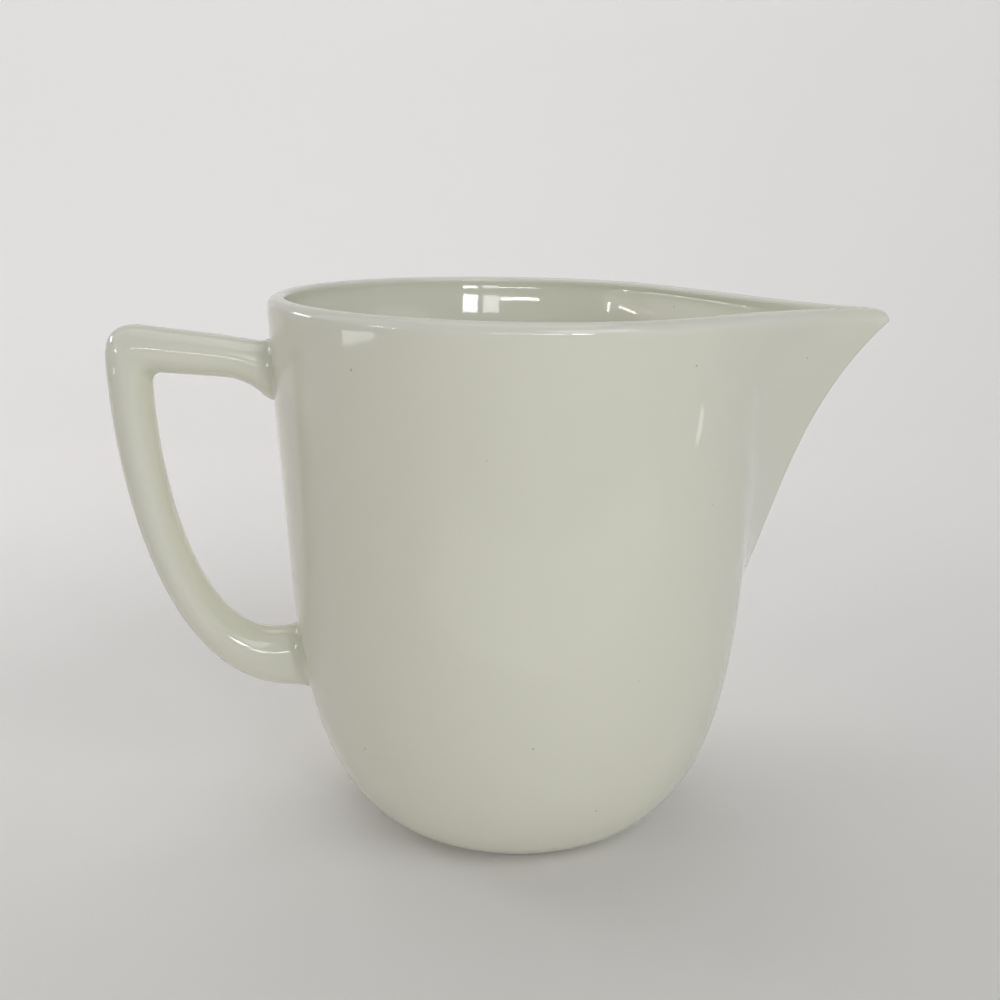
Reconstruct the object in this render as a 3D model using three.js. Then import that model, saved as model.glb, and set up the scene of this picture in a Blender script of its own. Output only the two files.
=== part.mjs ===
import * as THREE from 'three';

// A porcelain creamer: a slip-cast jug with a beak spout, and a cast handle stuck on with slip.
// Millimetres, +Z up. The origin is the centre of the foot, the spout points along +X
// and the handle along -X.

// Jug wall, as a profile turned about the axis
const rimHeight = 94; // crest of the lip, above the axis
const rimRadius = 42.5; // outside of the rim
const uprightBand = 13; // below the rim, where the leaning wall would meet the upright one
const hipRadius = 40.5; // where the bowl runs into the wall
const hipHeight = 45.5;
const hipPull = 21.9; // how far down the wall's direction carries into the bowl
const footPull = 13.5; // how far out the foot's direction carries into the bowl
const footAngle = 18.5; // degrees, the bowl's rise as it leaves the foot
const footRadius = 22.5; // outside of the ring that it stands on
const footWidth = 3;
const footRecess = 1.2; // depth of the hollow inside the foot ring
const wallThickness = 4.4;
const lipThickness = 3;
const lipTaper = 6; // how far down the inside thickens from the lip to the full wall
const lipCrown = 1.7; // height of the rounded lip

// Beak spout, drawn out of the wall
const beakReach = 25.4; // beyond the rim's outside
const beakDepth = 58; // from the rim down to where the beak starts
const beakRootPull = 18; // how far up the beak stays close to the wall
const beakTipPull = 7.5; // how far down the tip's slope carries
const beakTipSlope = 54; // degrees, the keel's rise at the tip
const beakCheekAngle = 65; // degrees round from +X, where the beak leaves the wall at the rim
const beakRootAngle = 30; // the same at the beak's root
const beakSideAngle = 20; // degrees, between the axis and the beak's side at the tip
const beakNoseRadius = 2.2;
const beakSharpness = 4; // how quickly the nose narrows above the root
const beakTipLand = 5; // clay in front of the channel at the tip
const rimTilt = 1; // degrees, the rim's fall towards the spout
const beakDroop = 2; // extra fall of the tip
const beakDroopStart = 23; // from the axis to where that fall starts

// Handle, as two edges in the jug's middle plane with an oval section between them
const handleWidth = 9.5;
const fingerGap = 19.5; // from the rim's outside to the grip
const gripThickness = 7.4;
const outerGripPull = 26; // how far the upright grip carries down its outer edge
const innerGripPull = 21.5;
const armDrop = 7; // from the rim down to the arm's top edge, at the wall
const armThickness = 6.7; // at the wall, without its web
const armTopRise = 8.2; // degrees, upwards away from the wall
const armUnderRise = 5.3;
const armWebDepth = 2.4; // the web under the arm at the wall
const armWebLength = 8;
const outerCorner = 6.5; // length of each leg of the rounded corner
const innerCorner = 2;
const tailHeight = 24.3; // the tail's lower edge at the wall
const tailThickness = 11.3; // just before its web
const tailFall = 5.8; // degrees, the lower edge's fall towards the wall
const tailWebDepth = 0.6; // the web on the tail at the wall
const tailWebLength = 4;
const outerTailPull = 19.9; // how far the tail's direction carries up its outer edge
const innerTailPull = 11.9;

// Luting slip between the handle and the wall
const slipThickness = 1.2;
const slipBead = 0.6; // how far the slip stands out round the handle's end
const slipEdge = 0.3; // thickness of the bead's edge
const fitGap = 0.3;

// Facets
const noseSteps = 2;
const flankSteps = 8;
const backSteps = 20;
const bowlSteps = 10;
const wallSteps = 11;
const lipSteps = 4;
const ovalSteps = 18;
const handleSteps = { web: 4, arm: 3, corner: 5, grip: 22, tail: 3 };
const beadSteps = 3;
const capShare = 0.5; // size of the ring inside an end face
const halvings = 40;

// Shape of a level's outline
const roundSideAngle = 80; // degrees, where the nose ends on a level with no beak
const flankTension = 0.36; // pull of the flank's curve, as a share of its chord

const { lerp, degToRad, smoothstep } = THREE.MathUtils;
const lipBase = rimHeight - lipCrown;
const vector = (x, y) => new THREE.Vector2(x, y);
const polar = (length, degrees) => vector(length, 0).rotateAround(vector(0, 0), degToRad(degrees));

// Wall profile: x is the radius and y is the height
const foot = vector(footRadius, 0);
const hip = vector(hipRadius, hipHeight);
const uprightCorner = vector(rimRadius, rimHeight - uprightBand);
const hipHandle = uprightCorner.clone().sub(hip).setLength(hipPull);
const bowlCurve = new THREE.CubicBezierCurve(
  foot,
  polar(footPull, footAngle).add(foot),
  hip.clone().sub(hipHandle),
  hip,
);
const wallCurve = new THREE.QuadraticBezierCurve(hip, uprightCorner, vector(rimRadius, rimHeight));

// Beak keel: x is how far the wall is drawn out and y is the height
const keelRoot = vector(0, rimHeight - beakDepth);
const keelTip = vector(beakReach, lipBase);
const keelCurve = new THREE.CubicBezierCurve(
  keelRoot,
  polar(beakRootPull, 90).add(keelRoot),
  keelTip.clone().sub(polar(beakTipPull, beakTipSlope)),
  keelTip,
);

// x of a rising curve at a height, held at its ends
function acrossAt(curve, height) {
  let low = 0;
  let high = 1;
  for (let halving = 0; halving < halvings; halving += 1) {
    const middle = (low + high) / 2;
    if (curve.getPoint(middle).y < height) {
      low = middle;
    } else {
      high = middle;
    }
  }
  return curve.getPoint(low).x;
}

function wallRadiusAt(height) {
  return acrossAt(height < hipHeight ? bowlCurve : wallCurve, height);
}

function drawnOutAt(height) {
  return acrossAt(keelCurve, height);
}

// Outline of the jug at one level: a circle whose front is drawn out to the given reach.
// A full pull gives the beak with its narrow nose, and no pull leaves the circle.
function levelOutline(radius, reach) {
  const pull = (reach - radius) / beakReach;
  const noseRadius = lerp(beakNoseRadius, radius, (1 - pull) ** beakSharpness);
  const sideAngle = lerp(roundSideAngle, beakSideAngle, Math.sqrt(pull));
  const cheekAngle = lerp(beakRootAngle, beakCheekAngle, pull);
  const noseMiddle = vector(reach - noseRadius, 0);
  const noseEnd = polar(noseRadius, 90 - sideAngle).add(noseMiddle);
  const cheek = polar(radius, cheekAngle);
  const flankPull = noseEnd.distanceTo(cheek) * flankTension;
  const flank = new THREE.CubicBezierCurve(
    noseEnd,
    polar(flankPull, 180 - sideAngle).add(noseEnd),
    polar(flankPull, cheekAngle - 90).add(cheek),
    cheek,
  );
  const half = [];
  for (let step = 0; step < noseSteps; step += 1) {
    half.push(polar(noseRadius, ((90 - sideAngle) * step) / noseSteps).add(noseMiddle));
  }
  for (let step = 0; step < flankSteps; step += 1) {
    half.push(flank.getPoint(step / flankSteps));
  }
  for (let step = 0; step <= backSteps; step += 1) {
    half.push(polar(radius, lerp(cheekAngle, 180, step / backSteps)));
  }
  const otherHalf = half.slice(1, -1).reverse();
  return [...half, ...otherHalf.map((point) => vector(point.x, -point.y))];
}

// The rim falls towards the spout, and the wall above the hip follows it
function rimFallAt(x, height) {
  const share = Math.max(0, (height - hipHeight) / (rimHeight - hipHeight)) ** 2;
  const droop = beakDroop * smoothstep(x, beakDroopStart, rimRadius + beakReach);
  return share * (Math.tan(degToRad(rimTilt)) * x + droop);
}

function jugRing({ radius, reach, height }) {
  return levelOutline(radius, reach).map(
    (point) => new THREE.Vector3(point.x, point.y, height - rimFallAt(point.x, height)),
  );
}

// Closed skin over rings of equal length, with a fan to the middle of the first and last ring
function closedSkin(rings) {
  const count = rings[0].length;
  const middleOf = (ring) =>
    ring.reduce((sum, point) => sum.add(point), new THREE.Vector3()).divideScalar(count);
  const points = [...rings.flat(), middleOf(rings[0]), middleOf(rings.at(-1))];
  const firstMiddle = points.length - 2;
  const lastMiddle = points.length - 1;
  const lastRing = (rings.length - 1) * count;
  const triangles = [];
  for (let side = 0; side < count; side += 1) {
    const next = (side + 1) % count;
    triangles.push(firstMiddle, next, side);
    triangles.push(lastMiddle, lastRing + side, lastRing + next);
    for (let start = 0; start < lastRing; start += count) {
      triangles.push(start + side, start + next, start + count + next);
      triangles.push(start + side, start + count + next, start + count + side);
    }
  }
  const geometry = new THREE.BufferGeometry().setFromPoints(points);
  geometry.setIndex(triangles);
  geometry.computeVertexNormals();
  return geometry;
}

// Jug body: up the outside from the foot, over the lip and down the inside to the floor
function jugBody() {
  const channelShare = 1 - (beakTipLand - lipThickness) / beakReach;
  const floorHeight = footRecess + wallThickness;
  const footInside = footRadius - footWidth;
  const plain = (radius, height) => ({ radius, reach: radius, height });
  const outside = (radius, height) => ({ radius, reach: radius + drawnOutAt(height), height });
  const inside = (radius, height) => ({
    radius,
    reach: radius + drawnOutAt(height) * channelShare,
    height,
  });

  const rows = [plain(footInside, footRecess), plain(footInside, 0)];
  const innerRows = [];
  for (let step = 0; step < bowlSteps; step += 1) {
    const point = bowlCurve.getPoint(step / bowlSteps);
    const direction = bowlCurve.getTangent(step / bowlSteps);
    const innerHeight = point.y + direction.x * wallThickness;
    rows.push(outside(point.x, point.y));
    innerRows.push(inside(point.x - direction.y * wallThickness, Math.max(innerHeight, floorHeight)));
  }
  for (let step = 0; step <= wallSteps; step += 1) {
    const height = lerp(hipHeight, lipBase, step / wallSteps);
    rows.push(outside(wallRadiusAt(height), height));
    const taper = Math.exp((height - lipBase) / lipTaper);
    const thickness = lerp(wallThickness, lipThickness, taper);
    innerRows.push(inside(wallRadiusAt(height) - thickness, height));
  }
  const outerLip = rows.at(-1);
  const innerLip = innerRows.at(-1);
  for (let step = 1; step < lipSteps; step += 1) {
    const turn = (Math.PI * step) / lipSteps;
    const share = (1 - Math.cos(turn)) / 2;
    rows.push({
      radius: lerp(outerLip.radius, innerLip.radius, share),
      reach: lerp(outerLip.reach, innerLip.reach, share),
      height: lipBase + lipCrown * Math.sin(turn),
    });
  }
  rows.push(...innerRows.reverse());
  return closedSkin(rows.map(jugRing));
}

// Handle edges: x is the distance from the jug's axis and y is the height.
// Each runs from the wall along the arm, round the corner, down the grip and back to the wall.
const handleGap = fitGap + slipThickness + fitGap;
const innerGrip = rimRadius + fingerGap;
const outerGrip = innerGrip + gripThickness;
const armWebEnd = rimRadius + armWebLength;
const armTop = rimHeight - armDrop;
const armUnder = armTop - armThickness;
const tailTop = tailHeight + tailThickness;

function outerEdge() {
  const topAt = (x) => armTop + (x - rimRadius) * Math.tan(degToRad(armTopRise));
  const corner = vector(outerGrip, topAt(outerGrip));
  const cornerStart = corner.clone().sub(polar(outerCorner, armTopRise));
  const cornerEnd = corner.clone().sub(polar(outerCorner, 90));
  const tailEnd = vector(wallRadiusAt(tailHeight), tailHeight);
  const tailStart = polar(tailWebLength, tailFall).add(tailEnd);
  const tailHandle = polar(outerTailPull, tailFall).add(tailStart);
  const seat = polar(handleGap, tailFall).add(tailEnd);
  return new THREE.Path()
    .moveTo(wallRadiusAt(armTop) + handleGap, armTop)
    .lineTo(armWebEnd, topAt(armWebEnd))
    .lineTo(cornerStart.x, cornerStart.y)
    .quadraticCurveTo(corner.x, corner.y, cornerEnd.x, cornerEnd.y)
    .bezierCurveTo(
      cornerEnd.x,
      cornerEnd.y - outerGripPull,
      tailHandle.x,
      tailHandle.y,
      tailStart.x,
      tailStart.y,
    )
    .lineTo(seat.x, seat.y);
}

function innerEdge() {
  const underAt = (x) => armUnder + (x - rimRadius) * Math.tan(degToRad(armUnderRise));
  const corner = vector(innerGrip, underAt(innerGrip));
  const cornerStart = corner.clone().sub(polar(innerCorner, armUnderRise));
  const cornerEnd = corner.clone().sub(polar(innerCorner, 90));
  const webFoot = armUnder - armWebDepth;
  const webMiddle = rimRadius + armWebLength / 2;
  const tailStart = wallRadiusAt(tailTop) + tailWebLength;
  const tailMiddle = wallRadiusAt(tailTop) + tailWebLength / 2;
  const tailWebTop = tailTop + tailWebDepth;
  return new THREE.Path()
    .moveTo(wallRadiusAt(webFoot) + handleGap, webFoot)
    .quadraticCurveTo(webMiddle, underAt(webMiddle), armWebEnd, underAt(armWebEnd))
    .lineTo(cornerStart.x, cornerStart.y)
    .quadraticCurveTo(corner.x, corner.y, cornerEnd.x, cornerEnd.y)
    .bezierCurveTo(
      cornerEnd.x,
      cornerEnd.y - innerGripPull,
      tailStart + innerTailPull,
      tailTop,
      tailStart,
      tailTop,
    )
    .quadraticCurveTo(tailMiddle, tailTop, wallRadiusAt(tailWebTop) + handleGap, tailWebTop);
}

const outerCurves = outerEdge().curves;
const innerCurves = innerEdge().curves;
const armEnd = { outer: outerCurves[0].getPoint(0), inner: innerCurves[0].getPoint(0) };
const tailEnd = { outer: outerCurves.at(-1).getPoint(1), inner: innerCurves.at(-1).getPoint(1) };

// Oval section between a point of each edge, widened all round by a margin, then shrunk to a share
function ovalRing(from, to, margin = 0, share = 1) {
  const middle = from.clone().add(to).divideScalar(2);
  const half = from.clone().sub(middle);
  half.setLength((half.length() + margin) * share);
  const halfWidth = (handleWidth / 2 + margin) * share;
  const ring = [];
  for (let step = 0; step < ovalSteps; step += 1) {
    const turn = (2 * Math.PI * step) / ovalSteps;
    const point = half.clone().multiplyScalar(Math.cos(turn)).add(middle);
    ring.push(new THREE.Vector3(-point.x, halfWidth * Math.sin(turn), point.y));
  }
  return ring;
}

// A ring pushed along X on to the surface at a distance outside the jug wall
function seated(ring, distance) {
  return ring.map(({ y, z }) => {
    const radius = wallRadiusAt(z) + distance;
    return new THREE.Vector3(-Math.sqrt(radius ** 2 - y ** 2), y, z);
  });
}

function handleSolid() {
  const rings = [];
  Object.values(handleSteps).forEach((steps, index) => {
    for (let step = 1; step <= steps; step += 1) {
      const outer = outerCurves[index].getPoint(step / steps);
      const inner = innerCurves[index].getPoint(step / steps);
      rings.push(ovalRing(outer, inner));
    }
  });
  rings.pop();
  const endRings = ({ outer, inner }) => [
    seated(ovalRing(outer, inner, 0, capShare), handleGap),
    seated(ovalRing(outer, inner), handleGap),
  ];
  return closedSkin([...endRings(armEnd), ...rings, ...endRings(tailEnd).reverse()]);
}

// Slip between one end of the handle and the wall: a pad with a hollow bead round its edge
function slipJoint(upper, lower) {
  const wallFace = [capShare, 1].map((share) => seated(ovalRing(upper, lower, slipBead, share), fitGap));
  const bead = [];
  for (let step = 0; step <= beadSteps; step += 1) {
    const turn = (Math.PI / 2) * (1 - step / beadSteps);
    const margin = slipBead * (1 - Math.cos(turn));
    const rise = lerp(slipEdge, slipThickness, 1 - Math.sin(turn));
    bead.push(seated(ovalRing(upper, lower, margin), fitGap + rise));
  }
  const handleFace = seated(ovalRing(upper, lower, 0, capShare), fitGap + slipThickness);
  return closedSkin([...wallFace, ...bead, handleFace]);
}

const creamer = new THREE.Group();

function addPiece(name, geometry, color, roughness) {
  const material = new THREE.MeshStandardMaterial({ color, roughness, metalness: 0 });
  const mesh = new THREE.Mesh(geometry, material);
  mesh.name = name;
  creamer.add(mesh);
}

addPiece('jug_body', jugBody(), 0xdcddcd, 0.15);
addPiece('handle', handleSolid(), 0xdadbcb, 0.15);
addPiece('upper_slip_joint', slipJoint(armEnd.outer, armEnd.inner), 0xd2d3c1, 0.2);
addPiece('lower_slip_joint', slipJoint(tailEnd.inner, tailEnd.outer), 0xd2d3c1, 0.2);

export default creamer;
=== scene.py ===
import math

import bpy
import numpy as np
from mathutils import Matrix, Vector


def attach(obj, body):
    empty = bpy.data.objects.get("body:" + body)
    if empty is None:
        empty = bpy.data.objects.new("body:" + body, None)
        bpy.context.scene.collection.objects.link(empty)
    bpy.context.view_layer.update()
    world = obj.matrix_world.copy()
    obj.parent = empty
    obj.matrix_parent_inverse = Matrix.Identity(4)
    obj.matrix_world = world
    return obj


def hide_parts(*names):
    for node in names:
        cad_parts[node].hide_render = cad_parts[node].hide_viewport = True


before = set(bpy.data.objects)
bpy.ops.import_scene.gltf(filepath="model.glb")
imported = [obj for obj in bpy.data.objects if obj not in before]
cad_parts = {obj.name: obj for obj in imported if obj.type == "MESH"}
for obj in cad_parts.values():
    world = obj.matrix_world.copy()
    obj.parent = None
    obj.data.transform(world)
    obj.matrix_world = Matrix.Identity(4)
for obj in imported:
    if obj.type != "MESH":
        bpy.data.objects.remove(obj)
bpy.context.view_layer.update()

# Jug body
# One slip casting in porcelain: a round cup with a beak spout drawn out of its wall.
# The lip is sponged round, and the cup stands on a low ring that is wiped bare of glaze.
MILLIMETRE = 0.001  # the pieces are sized in millimetres and degrees, the rest in metres and degrees
rim_height = 94.0
rim_radius = 42.5
upright_band = 13.0  # below the rim, where the leaning wall would meet the upright one
hip_radius = 40.5  # where the bowl runs into the wall
hip_height = 45.5
hip_pull = 21.9  # how far down the wall's direction carries into the bowl
foot_pull = 13.5  # how far out the foot's direction carries into the bowl
foot_angle = 18.5  # the bowl's rise as it leaves the foot
foot_radius = 22.5  # outside of the ring that it stands on
foot_width = 3.0
foot_recess = 1.2  # depth of the hollow inside the foot ring
foot_rounding = 0.5
wall_thickness = 4.4
lip_thickness = 3.0
lip_taper = 6.0  # how far down the inside thickens from the lip to the full wall
lip_crown = 1.7  # height of the rounded lip, outside
lip_crest = 0.66  # where the lip is highest, as a share of its thickness from the outside
inner_crown = 0.8  # height of the rounded lip, inside
beak_reach = 25.4  # beyond the rim's outside
beak_depth = 59.5  # from the rim down to where the keel starts
beak_root_pull = 25.0  # how far up the root's slope carries
beak_root_slope = 69.8  # the keel's rise at its root
beak_tip_pull = 26.0  # how far down the tip's slope carries
beak_tip_slope = 50.1  # the keel's rise at its tip
beak_keel_radius = 6.0  # of the nose at the root
beak_nose_radius = 2.2  # of the nose at the rim
beak_side_angle = 20.0  # between the axis and the beak's side at the tip
beak_cheek_angle = 65.0  # round from the spout, where the beak leaves the wall at the rim
beak_flare = 8  # how late the flank opens out below the rim
beak_tip_land = 5.0  # clay in front of the channel at the tip
root_valley_angle = 15.0  # round from the spout, the widest that a valley gets near the root
rim_valley_angle = 34.0  # the same near the rim
valley_share = 0.85  # of the angle at which the flank would only graze the wall
valley_width = 1.4  # where the valley runs out on the wall, in valley angles
valley_tension = 0.75  # how tightly the valley bends
rim_tilt = 1.0  # the rim's fall towards the spout
beak_droop = 2.0  # extra fall of the tip
beak_droop_start = 23.0  # from the axis to where that fall starts
beak_lip_drop = 0.8  # how far the base of the lip is let down at the tip
beak_lip_fade = 6.0  # how far down the wall that fades out
flank_tension = 0.36  # pull of the flank's curve at the rim, as a share of its chord
nose_steps = 16
flank_steps = 60
outline_stretches = ((0, 3, 14), (3, 30, 40), (30, 70, 30), (70, 180, 46))  # from, to, points
bowl_steps = 44
wall_steps = 64
lip_steps = 20
upright_rows = 2
floor_steps = 8
flat_floor_steps = 6  # those of the cup's floor before it turns up into the bowl
foot_edge_steps = 5
sole_shares = (0.4, 0.7, 0.92)  # rings across the sole of the foot
tangent_step = 0.001
halvings = 40
lip_base = rim_height - lip_crown


def polar(length, degrees):
    return length * np.array([math.cos(math.radians(degrees)), math.sin(math.radians(degrees))])


def lerp(start, end, share):
    return start + (end - start) * share


def bezier(*controls):
    """A curve through its first and last control point, as a function of a share from 0 to 1."""
    def point(share):
        level = [np.array(control, float) for control in controls]
        while len(level) > 1:
            level = [lerp(a, b, share) for a, b in zip(level, level[1:])]
        return level[0]
    return point


def across_at(curve, height):
    """The first coordinate of a rising curve where its second one reaches a height."""
    low, high = 0.0, 1.0
    for _ in range(halvings):
        middle = (low + high) / 2
        if curve(middle)[1] < height:
            low = middle
        else:
            high = middle
    return curve(low)[0]


foot = np.array([foot_radius, 0.0])
hip = np.array([hip_radius, hip_height])
upright_corner = np.array([rim_radius, rim_height - upright_band])
hip_direction = (upright_corner - hip) / np.linalg.norm(upright_corner - hip)
bowl_curve = bezier(foot, foot + polar(foot_pull, foot_angle), hip - hip_pull * hip_direction, hip)
wall_curve = bezier(hip, upright_corner, (rim_radius, rim_height))
keel_root = np.array([0.0, rim_height - beak_depth])
keel_tip = np.array([beak_reach, lip_base])
keel_curve = bezier(
    keel_root,
    keel_root + polar(beak_root_pull, beak_root_slope),
    keel_tip - polar(beak_tip_pull, beak_tip_slope),
    keel_tip,
)
stretches = [np.linspace(start, end, steps, endpoint=False) for start, end, steps in outline_stretches]
outline_angles = np.radians(np.concatenate([*stretches, [180]]))


def wall_radius_at(height):
    return across_at(bowl_curve if height < hip_height else wall_curve, height)


def beak_front(radius, reach, pull):
    """Half of the spout's outline at one level: a round nose, then a flank that ends in a valley.

    The flank flares near the rim, so the lip runs from the wall to the spout without a valley.
    """
    flare = pull ** beak_flare
    widest = lerp(root_valley_angle, rim_valley_angle, pull)
    grazing = math.degrees(math.acos(radius / reach))
    valley_angle = widest * math.tanh(valley_share * grazing / widest)
    valley = polar(radius, valley_angle)
    nose_radius = lerp(beak_keel_radius, beak_nose_radius, pull)
    nose_middle = np.array([reach - nose_radius, 0.0])
    away = valley - nose_middle
    nose_turn = math.atan2(away[1], away[0]) - math.acos(nose_radius / np.linalg.norm(away))
    nose_turn = lerp(math.degrees(nose_turn), 90 - beak_side_angle, flare)
    cheek_angle = lerp(valley_angle * valley_width, beak_cheek_angle, flare)
    nose_end = nose_middle + polar(nose_radius, nose_turn)
    cheek = polar(radius, cheek_angle)
    rim_pull = np.linalg.norm(cheek - nose_end) * flank_tension
    nose_pull = lerp(np.linalg.norm(valley - nose_end) * valley_tension, rim_pull, flare)
    cheek_pull = lerp(np.linalg.norm(valley - cheek) * valley_tension, rim_pull, flare)
    flank = bezier(
        nose_end,
        nose_end + polar(nose_pull, nose_turn + 90),
        cheek + polar(cheek_pull, cheek_angle - 90),
        cheek,
    )
    nose_turns = np.linspace(0, nose_turn, nose_steps, endpoint=False)
    nose = [nose_middle + polar(nose_radius, turn) for turn in nose_turns]
    return np.array(nose + [flank(share) for share in np.linspace(0, 1, flank_steps)])


def level_outline(radius, reach, pull):
    """A circle whose front is drawn out to the given reach, as points at set angles round the axis."""
    radii = np.full(len(outline_angles), float(radius))
    if reach > radius:
        front = beak_front(radius, reach, pull)
        turns = np.arctan2(front[:, 1], front[:, 0])
        drawn = outline_angles < turns[-1]
        radii[drawn] = np.interp(outline_angles[drawn], turns, np.linalg.norm(front, axis=1))
    half = np.column_stack([radii * np.cos(outline_angles), radii * np.sin(outline_angles)])
    return np.vstack([half, half[-2:0:-1] * (1, -1)])


def smoothstep(values, start, end):
    share = np.clip((values - start) / (end - start), 0, 1)
    return share * share * (3 - 2 * share)


def jug_ring(radius, reach, height):
    """One ring of the jug's skin: its outline, let down where the rim falls towards the spout."""
    pull = across_at(keel_curve, min(height, lip_base)) / beak_reach
    outline = level_outline(radius, reach, pull)
    share = max(0.0, (height - hip_height) / (rim_height - hip_height)) ** 2
    towards_tip = smoothstep(outline[:, 0], beak_droop_start, rim_radius + beak_reach)
    fall = share * (math.tan(math.radians(rim_tilt)) * outline[:, 0] + beak_droop * towards_tip)
    if height < lip_base:
        lip_share = math.exp((height - lip_base) / beak_lip_fade)
    else:
        lip_share = (rim_height - height) / lip_crown
    return np.column_stack([outline, height - fall - beak_lip_drop * lip_share * towards_tip])


def jug_rows():
    """Radius, reach and height of each ring, from the middle of the foot to the middle of the floor."""
    channel_share = 1 - (beak_tip_land - lip_thickness) / beak_reach
    floor_height = foot_recess + wall_thickness
    foot_inside = foot_radius - foot_width

    def plain(radius, height):
        return radius, radius, height

    def outside(radius, height):
        return radius, radius + across_at(keel_curve, height), height

    def inside(radius, height):
        return radius, radius + across_at(keel_curve, height) * channel_share, height

    recess_edge = bezier(
        (foot_inside - foot_rounding, foot_recess),
        (foot_inside, foot_recess),
        (foot_inside, foot_recess - foot_rounding),
    )
    foot_edge = bezier(
        (foot_inside, foot_rounding),
        (foot_inside, 0),
        (foot_inside + foot_rounding, 0),
    )
    recess_radius = foot_inside - foot_rounding
    rows = [plain(recess_radius * step / floor_steps, foot_recess) for step in range(1, floor_steps)]
    rows += [plain(*recess_edge(share)) for share in np.linspace(0, 1, foot_edge_steps)]
    rows += [plain(*foot_edge(share)) for share in np.linspace(0, 1, foot_edge_steps)]
    rows += [plain(lerp(foot_inside, foot_radius, share), 0) for share in sole_shares]
    inner = [plain(recess_radius * step / floor_steps, floor_height) for step in range(1, flat_floor_steps)]
    for share in np.linspace(0, 1, bowl_steps, endpoint=False):
        point = bowl_curve(share)
        direction = bowl_curve(share + tangent_step) - point
        direction /= np.linalg.norm(direction)
        height = point[1] + direction[0] * wall_thickness
        rows.append(outside(*point))
        if height > floor_height:
            inner.append(inside(point[0] - direction[1] * wall_thickness, height))
    for height in np.linspace(hip_height, lip_base, wall_steps):
        taper = math.exp((height - lip_base) / lip_taper)
        radius = wall_radius_at(height)
        rows.append(outside(radius, height))
        inner.append(inside(radius - lerp(wall_thickness, lip_thickness, taper), height))
    outer_lip, inner_lip = np.array(rows[-1]), np.array(inner[-1])
    for turn in np.linspace(0, math.pi, lip_steps + 1)[1:]:
        if turn < math.pi / 2:
            share = lip_crest * (1 - math.cos(turn))
            height = lip_base + lip_crown * math.sin(turn)
        else:
            share = lip_crest - (1 - lip_crest) * math.cos(turn)
            height = rim_height - inner_crown * (1 - math.sin(turn))
        radius, reach, _ = lerp(outer_lip, inner_lip, share)
        rows.append((radius, reach, height))
    upright = np.linspace(rim_height - inner_crown, lip_base, upright_rows + 2)[1:-1]
    rows += [(*inner_lip[:2], height) for height in upright]
    return rows + inner[::-1]


smoothing_rounds = 6
least_square_length = 1e-14
even_depth = 0.5  # of the glaze on a flat wall
hollow_bend = 0.25  # per millimetre, twice the bend of a hollow that the glaze fills
edge_bend = 0.06  # the bend at which the glaze starts to run off an edge
edge_range = 0.6  # twice the further bend at which it has all run off


def glaze_depth(mesh):
    """Stores how deep the glaze lies on a mesh, as an attribute of its points.

    It is 0 on sharp edges, where the glaze runs off, and 1 in hollows, where it gathers.
    """
    count = len(mesh.vertices)
    points = np.zeros(count * 3)
    normals = np.zeros(count * 3)
    ends = np.zeros(len(mesh.edges) * 2, np.int64)
    mesh.vertices.foreach_get("co", points)
    mesh.vertices.foreach_get("normal", normals)
    mesh.edges.foreach_get("vertices", ends)
    points, normals, ends = points.reshape(-1, 3), normals.reshape(-1, 3), ends.reshape(-1, 2)
    along = points[ends[:, 1]] - points[ends[:, 0]]
    length = np.maximum((along ** 2).sum(1), least_square_length)
    bend = np.zeros(count)
    shared = np.bincount(ends.ravel(), minlength=count)
    for end, sign in ((0, 1), (1, -1)):
        rise = (normals[ends[:, end]] * along).sum(1) * sign * 2 / length
        bend += np.bincount(ends[:, end], rise, count)
    bend *= MILLIMETRE / shared
    for _ in range(smoothing_rounds):
        spread = np.bincount(ends[:, 0], bend[ends[:, 1]], count)
        spread += np.bincount(ends[:, 1], bend[ends[:, 0]], count)
        bend = (bend + spread / shared) / 2
    gathered = np.clip(bend / hollow_bend, 0, 1 - even_depth)
    run_off = np.clip((bend + edge_bend) / edge_range, -even_depth, 0)
    depth = even_depth + gathered + run_off
    attribute = mesh.attributes.new("glaze_depth", "FLOAT", "POINT")
    attribute.data.foreach_set("value", depth.astype(np.float32))


def skin(name, rings):
    """A closed mesh over rings of equal length, in millimetres, with a fan to the middle of each end."""
    rings = np.array(rings)
    rows, count = rings.shape[:2]
    points = np.vstack([rings.reshape(-1, 3), rings[0].mean(0), rings[-1].mean(0)])
    first, last = rows * count, rows * count + 1
    end = (rows - 1) * count
    faces = []
    for side in range(count):
        after = (side + 1) % count
        faces.append((first, after, side))
        faces.append((last, end + side, end + after))
        for start in range(0, end, count):
            faces.append((start + side, start + after, start + count + after, start + count + side))
    mesh = bpy.data.meshes.new(name)
    mesh.from_pydata((points * MILLIMETRE).tolist(), [], faces)
    mesh.shade_smooth()
    mesh.update()
    glaze_depth(mesh)
    piece = bpy.data.objects.new(name, mesh)
    bpy.context.scene.collection.objects.link(piece)
    return piece


def add_node(owner, kind, inputs, **settings):
    """A node of a material or world, with each input set to a value or to another node's output."""
    tree = owner.node_tree
    made = tree.nodes.new(kind)
    for key, value in settings.items():
        setattr(made, key, value)
    for key, value in inputs.items():
        if isinstance(value, bpy.types.NodeSocket):
            tree.links.new(value, made.inputs[key])
        else:
            made.inputs[key].default_value = value
    return made


def mix(owner, share, first, second):
    """A colour between two others, by the mix node's sockets for colours: inputs 0, 6 and 7, output 2."""
    return add_node(owner, "ShaderNodeMix", {0: share, 6: first, 7: second}, data_type="RGBA").outputs[2]


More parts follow.
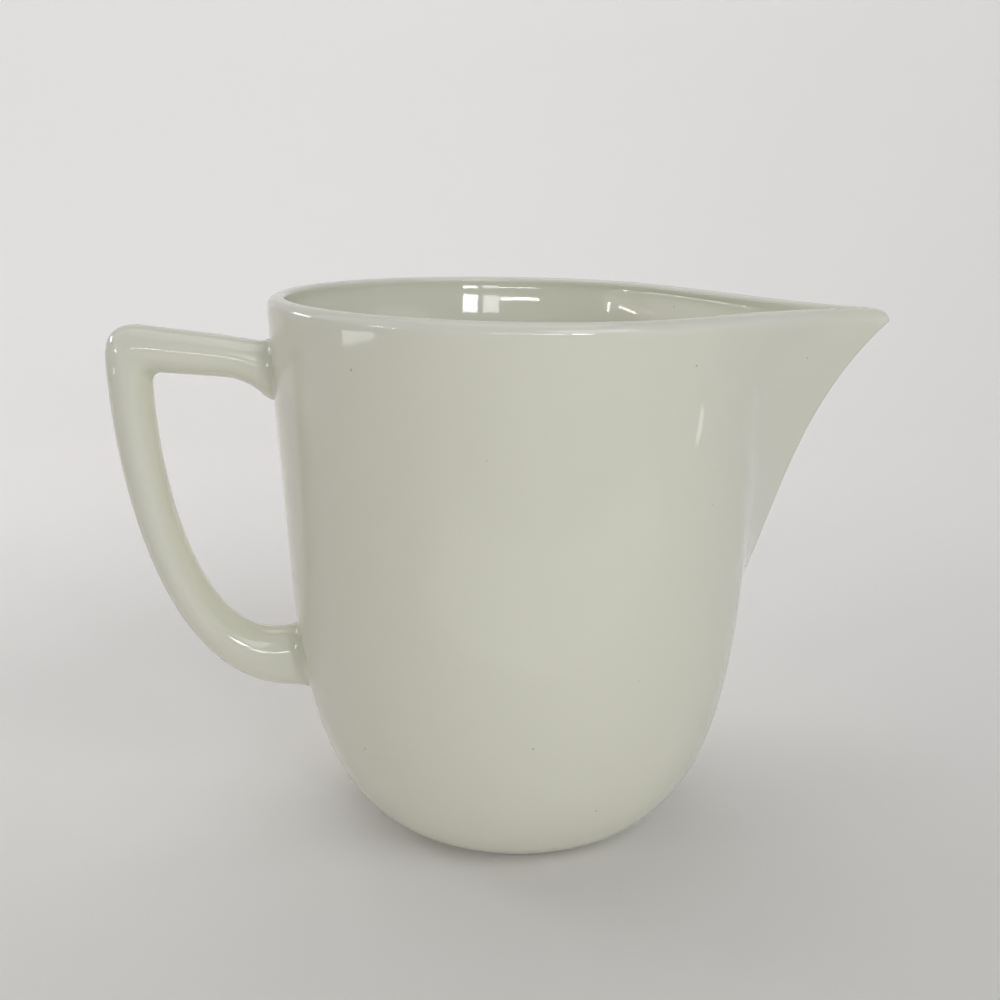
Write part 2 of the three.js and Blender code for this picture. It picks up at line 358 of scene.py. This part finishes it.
glaze_cool = (0.745, 0.745, 0.632, 1)
glaze_warm = (0.768, 0.76, 0.652, 1)
glaze_thin = (0.79, 0.785, 0.71, 1)
glaze_deep = (0.64, 0.658, 0.525, 1)
speck_colour = (0.2, 0.17, 0.12, 1)
glaze_refraction = 1.52
bare_dark = (0.5, 0.46, 0.38, 1)
bare_pale = (0.66, 0.62, 0.53, 1)
bare_roughness = 0.85


def ivory_glaze(name):
    """Clear glossy glaze over an ivory body: paler where it is thin, greener where it is deep."""
    material = bpy.data.materials.new(name)
    material.use_nodes = True
    place = add_node(material, "ShaderNodeTexCoord", {}).outputs["Object"]
    depth = add_node(material, "ShaderNodeAttribute", {}, attribute_name="glaze_depth").outputs["Fac"]

    drift = add_node(material, "ShaderNodeTexNoise", {"Vector": place, "Scale": 22.0, "Detail": 2.0})
    colour = mix(material, drift.outputs["Fac"], glaze_cool, glaze_warm)
    thin = add_node(
        material, "ShaderNodeMapRange", {"Value": depth, "From Min": 0.45, "From Max": 0.0, "To Max": 0.8}
    )
    colour = mix(material, thin.outputs["Result"], colour, glaze_thin)
    deep = add_node(
        material, "ShaderNodeMapRange", {"Value": depth, "From Min": 0.55, "From Max": 1.0, "To Max": 0.5}
    )
    colour = mix(material, deep.outputs["Result"], colour, glaze_deep)

    specks = add_node(material, "ShaderNodeTexVoronoi", {"Vector": place, "Scale": 120.0})
    speck = add_node(
        material,
        "ShaderNodeMapRange",
        {"Value": specks.outputs["Distance"], "From Min": 0.03, "From Max": 0.015, "To Max": 0.5},
    )
    colour = mix(material, speck.outputs["Result"], colour, speck_colour)

    polish = add_node(material, "ShaderNodeTexNoise", {"Vector": place, "Scale": 60.0, "Detail": 4.0})
    rough = add_node(
        material,
        "ShaderNodeMapRange",
        {"Value": polish.outputs["Fac"], "From Min": 0.3, "From Max": 0.7, "To Min": 0.03, "To Max": 0.07},
    )
    swell = add_node(material, "ShaderNodeTexNoise", {"Vector": place, "Scale": 55.0, "Detail": 1.0})
    bump = add_node(
        material, "ShaderNodeBump", {"Height": swell.outputs["Fac"], "Strength": 0.25, "Distance": 0.0006}
    )
    shader = material.node_tree.nodes["Principled BSDF"]
    shader.inputs["IOR"].default_value = glaze_refraction
    links = material.node_tree.links
    links.new(colour, shader.inputs["Base Color"])
    links.new(rough.outputs["Result"], shader.inputs["Roughness"])
    links.new(bump.outputs["Normal"], shader.inputs["Normal"])
    return material


def bare_porcelain(name):
    """Unglazed fired body: matt, a little darker than the glaze and finely sandy."""
    material = bpy.data.materials.new(name)
    material.use_nodes = True
    place = add_node(material, "ShaderNodeTexCoord", {}).outputs["Object"]
    sand = add_node(material, "ShaderNodeTexNoise", {"Vector": place, "Scale": 1500.0, "Detail": 3.0})
    colour = mix(material, sand.outputs["Fac"], bare_dark, bare_pale)
    bump = add_node(
        material, "ShaderNodeBump", {"Height": sand.outputs["Fac"], "Strength": 0.4, "Distance": 0.0001}
    )
    shader = material.node_tree.nodes["Principled BSDF"]
    shader.inputs["Roughness"].default_value = bare_roughness
    material.node_tree.links.new(colour, shader.inputs["Base Color"])
    material.node_tree.links.new(bump.outputs["Normal"], shader.inputs["Normal"])
    return material


jug = skin("jug_body_glazed", [jug_ring(*row) for row in jug_rows()])
jug.data.materials.append(ivory_glaze("body_glaze"))
jug.data.materials.append(bare_porcelain("bare_foot_ring"))
for face in jug.data.polygons:
    if face.center.z < foot_rounding * MILLIMETRE / 2:
        face.material_index = 1
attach(jug, "root")
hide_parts("jug_body")

# Handle
# A solid casting with an oval section, angular above and swept below, pressed on to the wall
# while both are damp. Its ends are scooped to the wall and stop short of it by the slip.
handle_width = 9.5
finger_gap = 19.5  # from the rim's outside to the grip
grip_thickness = 7.4
outer_grip_pull = 26.0  # how far the upright grip carries down its outer edge
inner_grip_pull = 21.5
arm_drop = 7.0  # from the rim down to the arm's top edge, at the wall
arm_thickness = 6.7  # at the wall, without its web
arm_top_rise = 8.2  # upwards away from the wall
arm_under_rise = 5.3
arm_web_depth = 2.4  # the web under the arm at the wall
arm_web_length = 8.0
outer_corner = 6.5  # length of each leg of the rounded corner
inner_corner = 2.0
tail_height = 24.3  # the tail's lower edge at the wall
tail_thickness = 11.3
tail_fall = 5.8  # the lower edge's fall towards the wall
tail_web_length = 4.0
outer_tail_pull = 19.9  # how far the tail's direction carries up its outer edge
inner_tail_pull = 11.9
fit_gap = 0.3  # stands in for the fired bond on each face of the slip
slip_thickness = 1.2
handle_gap = fit_gap + slip_thickness + fit_gap
oval_steps = 72
handle_steps = (20, 14, 26, 90, 16)  # web, arm, corner, grip and tail
end_shares = (0.35, 0.7, 0.93, 1)

inner_grip = rim_radius + finger_gap
outer_grip = inner_grip + grip_thickness
arm_web_end = rim_radius + arm_web_length
arm_top = rim_height - arm_drop
arm_under = arm_top - arm_thickness
tail_top = tail_height + tail_thickness
oval_turns = np.arange(oval_steps) * 2 * math.pi / oval_steps


def outer_edge():
    """The handle's outer edge in the jug's middle plane: distance from the axis, and height."""
    def top_at(across):
        slope = math.tan(math.radians(arm_top_rise))
        return np.array([across, arm_top + (across - rim_radius) * slope])

    corner = top_at(outer_grip)
    corner_start = corner - polar(outer_corner, arm_top_rise)
    corner_end = corner - polar(outer_corner, 90)
    tail_end = np.array([wall_radius_at(tail_height), tail_height])
    tail_start = tail_end + polar(tail_web_length, tail_fall)
    return (
        bezier((wall_radius_at(arm_top) + handle_gap, arm_top), top_at(arm_web_end)),
        bezier(top_at(arm_web_end), corner_start),
        bezier(corner_start, corner, corner_end),
        bezier(
            corner_end,
            corner_end - polar(outer_grip_pull, 90),
            tail_start + polar(outer_tail_pull, tail_fall),
            tail_start,
        ),
        bezier(tail_start, tail_end + polar(handle_gap, tail_fall)),
    )


def inner_edge():
    """The handle's inner edge, in as many stretches as the outer one."""
    def under_at(across):
        slope = math.tan(math.radians(arm_under_rise))
        return np.array([across, arm_under + (across - rim_radius) * slope])

    corner = under_at(inner_grip)
    corner_start = corner - polar(inner_corner, arm_under_rise)
    corner_end = corner - polar(inner_corner, 90)
    web_foot = arm_under - arm_web_depth
    tail_wall = wall_radius_at(tail_top)
    tail_start = np.array([tail_wall + tail_web_length, tail_top])
    return (
        bezier(
            (wall_radius_at(web_foot) + handle_gap, web_foot),
            under_at(rim_radius + arm_web_length / 2),
            under_at(arm_web_end),
        ),
        bezier(under_at(arm_web_end), corner_start),
        bezier(corner_start, corner, corner_end),
        bezier(
            corner_end,
            corner_end - polar(inner_grip_pull, 90),
            tail_start + polar(inner_tail_pull, 0),
            tail_start,
        ),
        bezier(tail_start, (tail_wall + handle_gap, tail_top)),
    )


def oval_ring(upper, lower, margin=0.0, share=1.0):
    """An oval between two points of the middle plane, widened by a margin, then shrunk to a share."""
    middle = (upper + lower) / 2
    half_length = np.linalg.norm(upper - middle)
    along = (half_length + margin) * share * np.cos(oval_turns)
    across = (handle_width / 2 + margin) * share * np.sin(oval_turns)
    plane = middle + np.outer(along, (upper - middle) / half_length)
    return np.column_stack([-plane[:, 0], across, plane[:, 1]])


def seated(ring, distance):
    """A ring pushed along X on to the surface at a distance outside the jug wall."""
    radii = np.array([wall_radius_at(height) for height in ring[:, 2]]) + distance
    return np.column_stack([-np.sqrt(radii ** 2 - ring[:, 1] ** 2), ring[:, 1:]])


outer_curves, inner_curves = outer_edge(), inner_edge()
arm_end = outer_curves[0](0), inner_curves[0](0)
tail_end = outer_curves[-1](1), inner_curves[-1](1)
handle_rings = [seated(oval_ring(*arm_end, share=share), handle_gap) for share in end_shares]
for outer_curve, inner_curve, steps in zip(outer_curves, inner_curves, handle_steps):
    for share in np.linspace(0, 1, steps + 1)[1:]:
        handle_rings.append(oval_ring(outer_curve(share), inner_curve(share)))
handle_rings.pop()
handle_rings += [seated(oval_ring(*tail_end, share=share), handle_gap) for share in end_shares[::-1]]

handle = skin("handle_glazed", handle_rings)
handle.data.materials.append(ivory_glaze("handle_glaze"))
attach(handle, "root")
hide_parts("handle")

# Slip joints
# Liquid clay sticks each end of the handle to the wall. It is pressed out round the end and
# wiped to a small hollow fillet, which the glaze runs over from the handle on to the wall.
arm_fillet = {"run": 3.0, "above": 0.9, "side": 1.8, "below": 0.1}  # along the handle, then over the wall
tail_fillet = {"run": 3.8, "above": 1.0, "side": 2.8, "below": 0.5}
fillet_steps = 20
hidden_run = (2.0, 1.75, 1.5, 1.25, 1.0, 0.75, 0.5, 0.25)  # rings under the handle's skin and the wall
hidden_radius = 4.0  # of the bend in which those rings sink
fillet_levelling = 0.6  # how much of an edge's slope carries on beyond the handle's end
tuck = 0.006  # how far the fillet's edges sink into the skins that they meet


def slip_fillet(outer, inner, run, above, side, below):
    """A pad behind the handle's end, with a hollow fillet from the handle's skin out to the wall.

    The edges are given by distance from the wall. The fillet spreads most at the sides.
    """
    spread = np.where(np.cos(oval_turns) > 0, above, below)
    spread = lerp(spread, side, np.sin(oval_turns) ** 2)
    rings = []
    for back in hidden_run:
        sink = back ** 2 / (2 * hidden_radius)
        rings.append(oval_ring(outer(run + back), inner(run + back), -sink))
    for turn in np.linspace(0, math.pi / 2, fillet_steps + 1):
        distance = run * (1 - math.sin(turn)) * math.cos(turn)
        flare = (1 - math.cos(turn)) * math.sin(turn)
        ring = oval_ring(outer(distance), inner(distance), spread * flare - tuck)
        rings.append(lerp(ring, seated(ring, distance - tuck), math.sin(turn) ** 2))
    for out in hidden_run[::-1]:
        sink = tuck + out ** 2 / (2 * hidden_radius)
        rings.append(seated(oval_ring(outer(0), inner(0), spread + out), -sink))
    rings.append(seated(oval_ring(outer(0), inner(0)), -hidden_run[0] / 2))
    return rings[::-1]


def by_distance(curve, length, from_start):
    """A handle edge by distance from the wall instead of by share. It levels out beyond its end."""
    def point(distance):
        share = (distance - handle_gap) / (length - handle_gap)
        if share < 0:
            share *= fillet_levelling
        return curve(share if from_start else 1 - share)
    return point


joint_fillets = {
    "upper_slip_joint": slip_fillet(
        by_distance(outer_curves[0], arm_web_length, True),
        by_distance(inner_curves[0], arm_web_length, True),
        **arm_fillet,
    ),
    "lower_slip_joint": slip_fillet(
        by_distance(inner_curves[-1], tail_web_length, False),
        by_distance(outer_curves[-1], tail_web_length, False),
        **tail_fillet,
    ),
}
joint_glaze = ivory_glaze("joint_glaze")
for node, rings in joint_fillets.items():
    joint = skin(node + "_glazed", rings)
    joint.data.materials.append(joint_glaze)
    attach(joint, "root")
    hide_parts(node)

# Floor
# A plain pale sheet that lies flat under the jug and sweeps up to a backdrop behind it.
# Away from the jug it fades to the horizon's colour, which the world shows beyond its edge.
floor_half = 6.0
sweep_start = 0.3  # behind the jug, where the floor starts to rise
sweep_radius = 0.18
backdrop_height = 2.5
sweep_steps = 32
fade_start = 0.35  # from the jug, where the floor starts to fade
fade_end = 0.8
horizon_colour = (0.7, 0.69, 0.685, 1)
floor_colour = (0.86, 0.845, 0.835, 1)
floor_roughness = 0.8
fill_light = (0.042, 0.042, 0.043, 1)

profile = [(-floor_half, 0.0)]
for turn in np.linspace(0, math.pi / 2, sweep_steps + 1):
    profile.append((sweep_start + sweep_radius * math.sin(turn), sweep_radius * (1 - math.cos(turn))))
profile.append((sweep_start + sweep_radius, backdrop_height))
floor_points = [(x, y, z) for y, z in profile for x in (-floor_half, floor_half)]
floor_faces = [(row, row + 1, row + 3, row + 2) for row in range(0, len(floor_points) - 2, 2)]
floor_mesh = bpy.data.meshes.new("floor")
floor_mesh.from_pydata(floor_points, [], floor_faces)
floor_mesh.shade_smooth()
floor = bpy.data.objects.new("floor", floor_mesh)
bpy.context.scene.collection.objects.link(floor)


def background_rays(owner):
    """1 for the rays that show the background: from the camera, off a gloss or through a glass."""
    rays = add_node(owner, "ShaderNodeLightPath", {}).outputs
    shown = rays["Is Camera Ray"]
    for kind in ("Is Glossy Ray", "Is Transmission Ray"):
        larger = add_node(owner, "ShaderNodeMath", {0: shown, 1: rays[kind]}, operation="MAXIMUM")
        shown = larger.outputs["Value"]
    return shown


floor_paint = bpy.data.materials.new("floor_paint")
floor_paint.use_nodes = True
floor_links = floor_paint.node_tree.links
floor_shader = floor_paint.node_tree.nodes["Principled BSDF"]
floor_shader.inputs["Base Color"].default_value = floor_colour
floor_shader.inputs["Roughness"].default_value = floor_roughness
floor_place = add_node(floor_paint, "ShaderNodeTexCoord", {}).outputs["Object"]
floor_distance = add_node(floor_paint, "ShaderNodeVectorMath", {0: floor_place}, operation="LENGTH")
fade = add_node(
    floor_paint,
    "ShaderNodeMapRange",
    {
        "Value": floor_distance.outputs["Value"],
        "From Min": fade_start,
        "From Max": fade_end,
        "To Max": background_rays(floor_paint),
    },
)
far_floor = add_node(floor_paint, "ShaderNodeEmission", {"Color": horizon_colour})
blend = add_node(floor_paint, "ShaderNodeMixShader", {0: fade.outputs["Result"]})
floor_links.new(floor_shader.outputs["BSDF"], blend.inputs[1])
floor_links.new(far_floor.outputs["Emission"], blend.inputs[2])
floor_links.new(blend.outputs["Shader"], floor_paint.node_tree.nodes["Material Output"].inputs["Surface"])
floor_mesh.materials.append(floor_paint)

world = bpy.data.worlds.new("studio")
bpy.context.scene.world = world
world.use_nodes = True
sky = mix(world, background_rays(world), fill_light, horizon_colour)
world.node_tree.links.new(sky, world.node_tree.nodes["Background"].inputs["Color"])

# Lamps
# A broad soft box lights the jug from the front right, with dimmer ones above, beside and behind it.
# Small window-shaped boxes and low patches by the floor give the glaze its highlights.
LAMP_AIM = (0, 0, 0.06)


def soft_box(name, azimuth, rise, distance, width, height, radiance, colour=(1, 1, 1), aim=LAMP_AIM):
    """A rectangular lamp placed round the jug. Its power follows from its size and its radiance."""
    lamp = bpy.data.lights.new(name, "AREA")
    lamp.shape = "RECTANGLE"
    lamp.size, lamp.size_y = width, height
    lamp.energy = radiance * math.pi * width * height
    lamp.color = colour
    holder = bpy.data.objects.new(name, lamp)
    bpy.context.scene.collection.objects.link(holder)
    holder.visible_camera = False
    across = distance * math.cos(math.radians(rise))
    holder.location = Vector(LAMP_AIM) + Vector((
        across * math.cos(math.radians(azimuth)),
        across * math.sin(math.radians(azimuth)),
        distance * math.sin(math.radians(rise)),
    ))
    direction = Vector(aim) - holder.location
    holder.rotation_euler = direction.to_track_quat("-Z", "Y").to_euler()


# Azimuth and rise in degrees, then distance, width, height and radiance.
soft_box("window_left_pane", -71, 14, 0.9, 0.13, 0.14, 17, (0.93, 0.97, 1.0))
soft_box("window_right_pane", -83, 14, 0.9, 0.14, 0.14, 7, (0.96, 0.99, 1.0))
soft_box("window_transom", -100, 16.5, 0.9, 0.36, 0.03, 16)
soft_box("front_box", -60, 40, 0.8, 0.5, 0.4, 2.2)
soft_box("right_box", -30, 6, 0.8, 0.5, 0.12, 0.8)
soft_box("back_box", 172, 42, 0.45, 0.3, 0.3, 0.5)
soft_box("top_box", 90, 80, 0.8, 0.6, 0.6, 1.0)
soft_box("side_box", -158, 20, 0.9, 0.3, 0.25, 1.0, (1.0, 0.97, 0.9))
soft_box("side_left_pane", -152, 14, 0.9, 0.02, 0.1, 16, (1.0, 0.97, 0.88))
soft_box("side_right_pane", -161, 15, 0.9, 0.12, 0.05, 13, (1.0, 0.97, 0.88))
soft_box("back_window", 150, 20, 0.6, 0.16, 0.06, 9)
soft_box("backdrop_box", 90, 59.5, 0.394, 1.2, 0.3, 0.9, aim=(0, 0.5, 0.175))
soft_box("floor_card", -75, -27, 0.128, 0.28, 0.09, 0.3, aim=(0.03, 0.2, 1))
soft_box("left_floor_patch", -170, -5.5, 0.61, 0.19, 0.08, 3, aim=(-0.3, -0.106, 1))
soft_box("right_floor_patch", -14, -10, 0.33, 0.015, 0.06, 2, aim=(0.2, -0.08, 1))

# Camera
# It stands close in front of the jug, a little above the rim, and looks down at it.
camera_place = (-0.03206, -0.20635, 0.1135)
camera_dip = 15.02
camera_turn = -8.0

camera_data = bpy.data.cameras.new("camera")
camera_data.lens = 43.2
camera_data.sensor_width = 36.0
camera_data.clip_start = 0.01
camera = bpy.data.objects.new("camera", camera_data)
bpy.context.scene.collection.objects.link(camera)
camera.location = camera_place
camera.rotation_euler = (math.radians(90 - camera_dip), 0, math.radians(camera_turn))
bpy.context.scene.camera = camera
bpy.context.scene.view_settings.view_transform = "Standard"
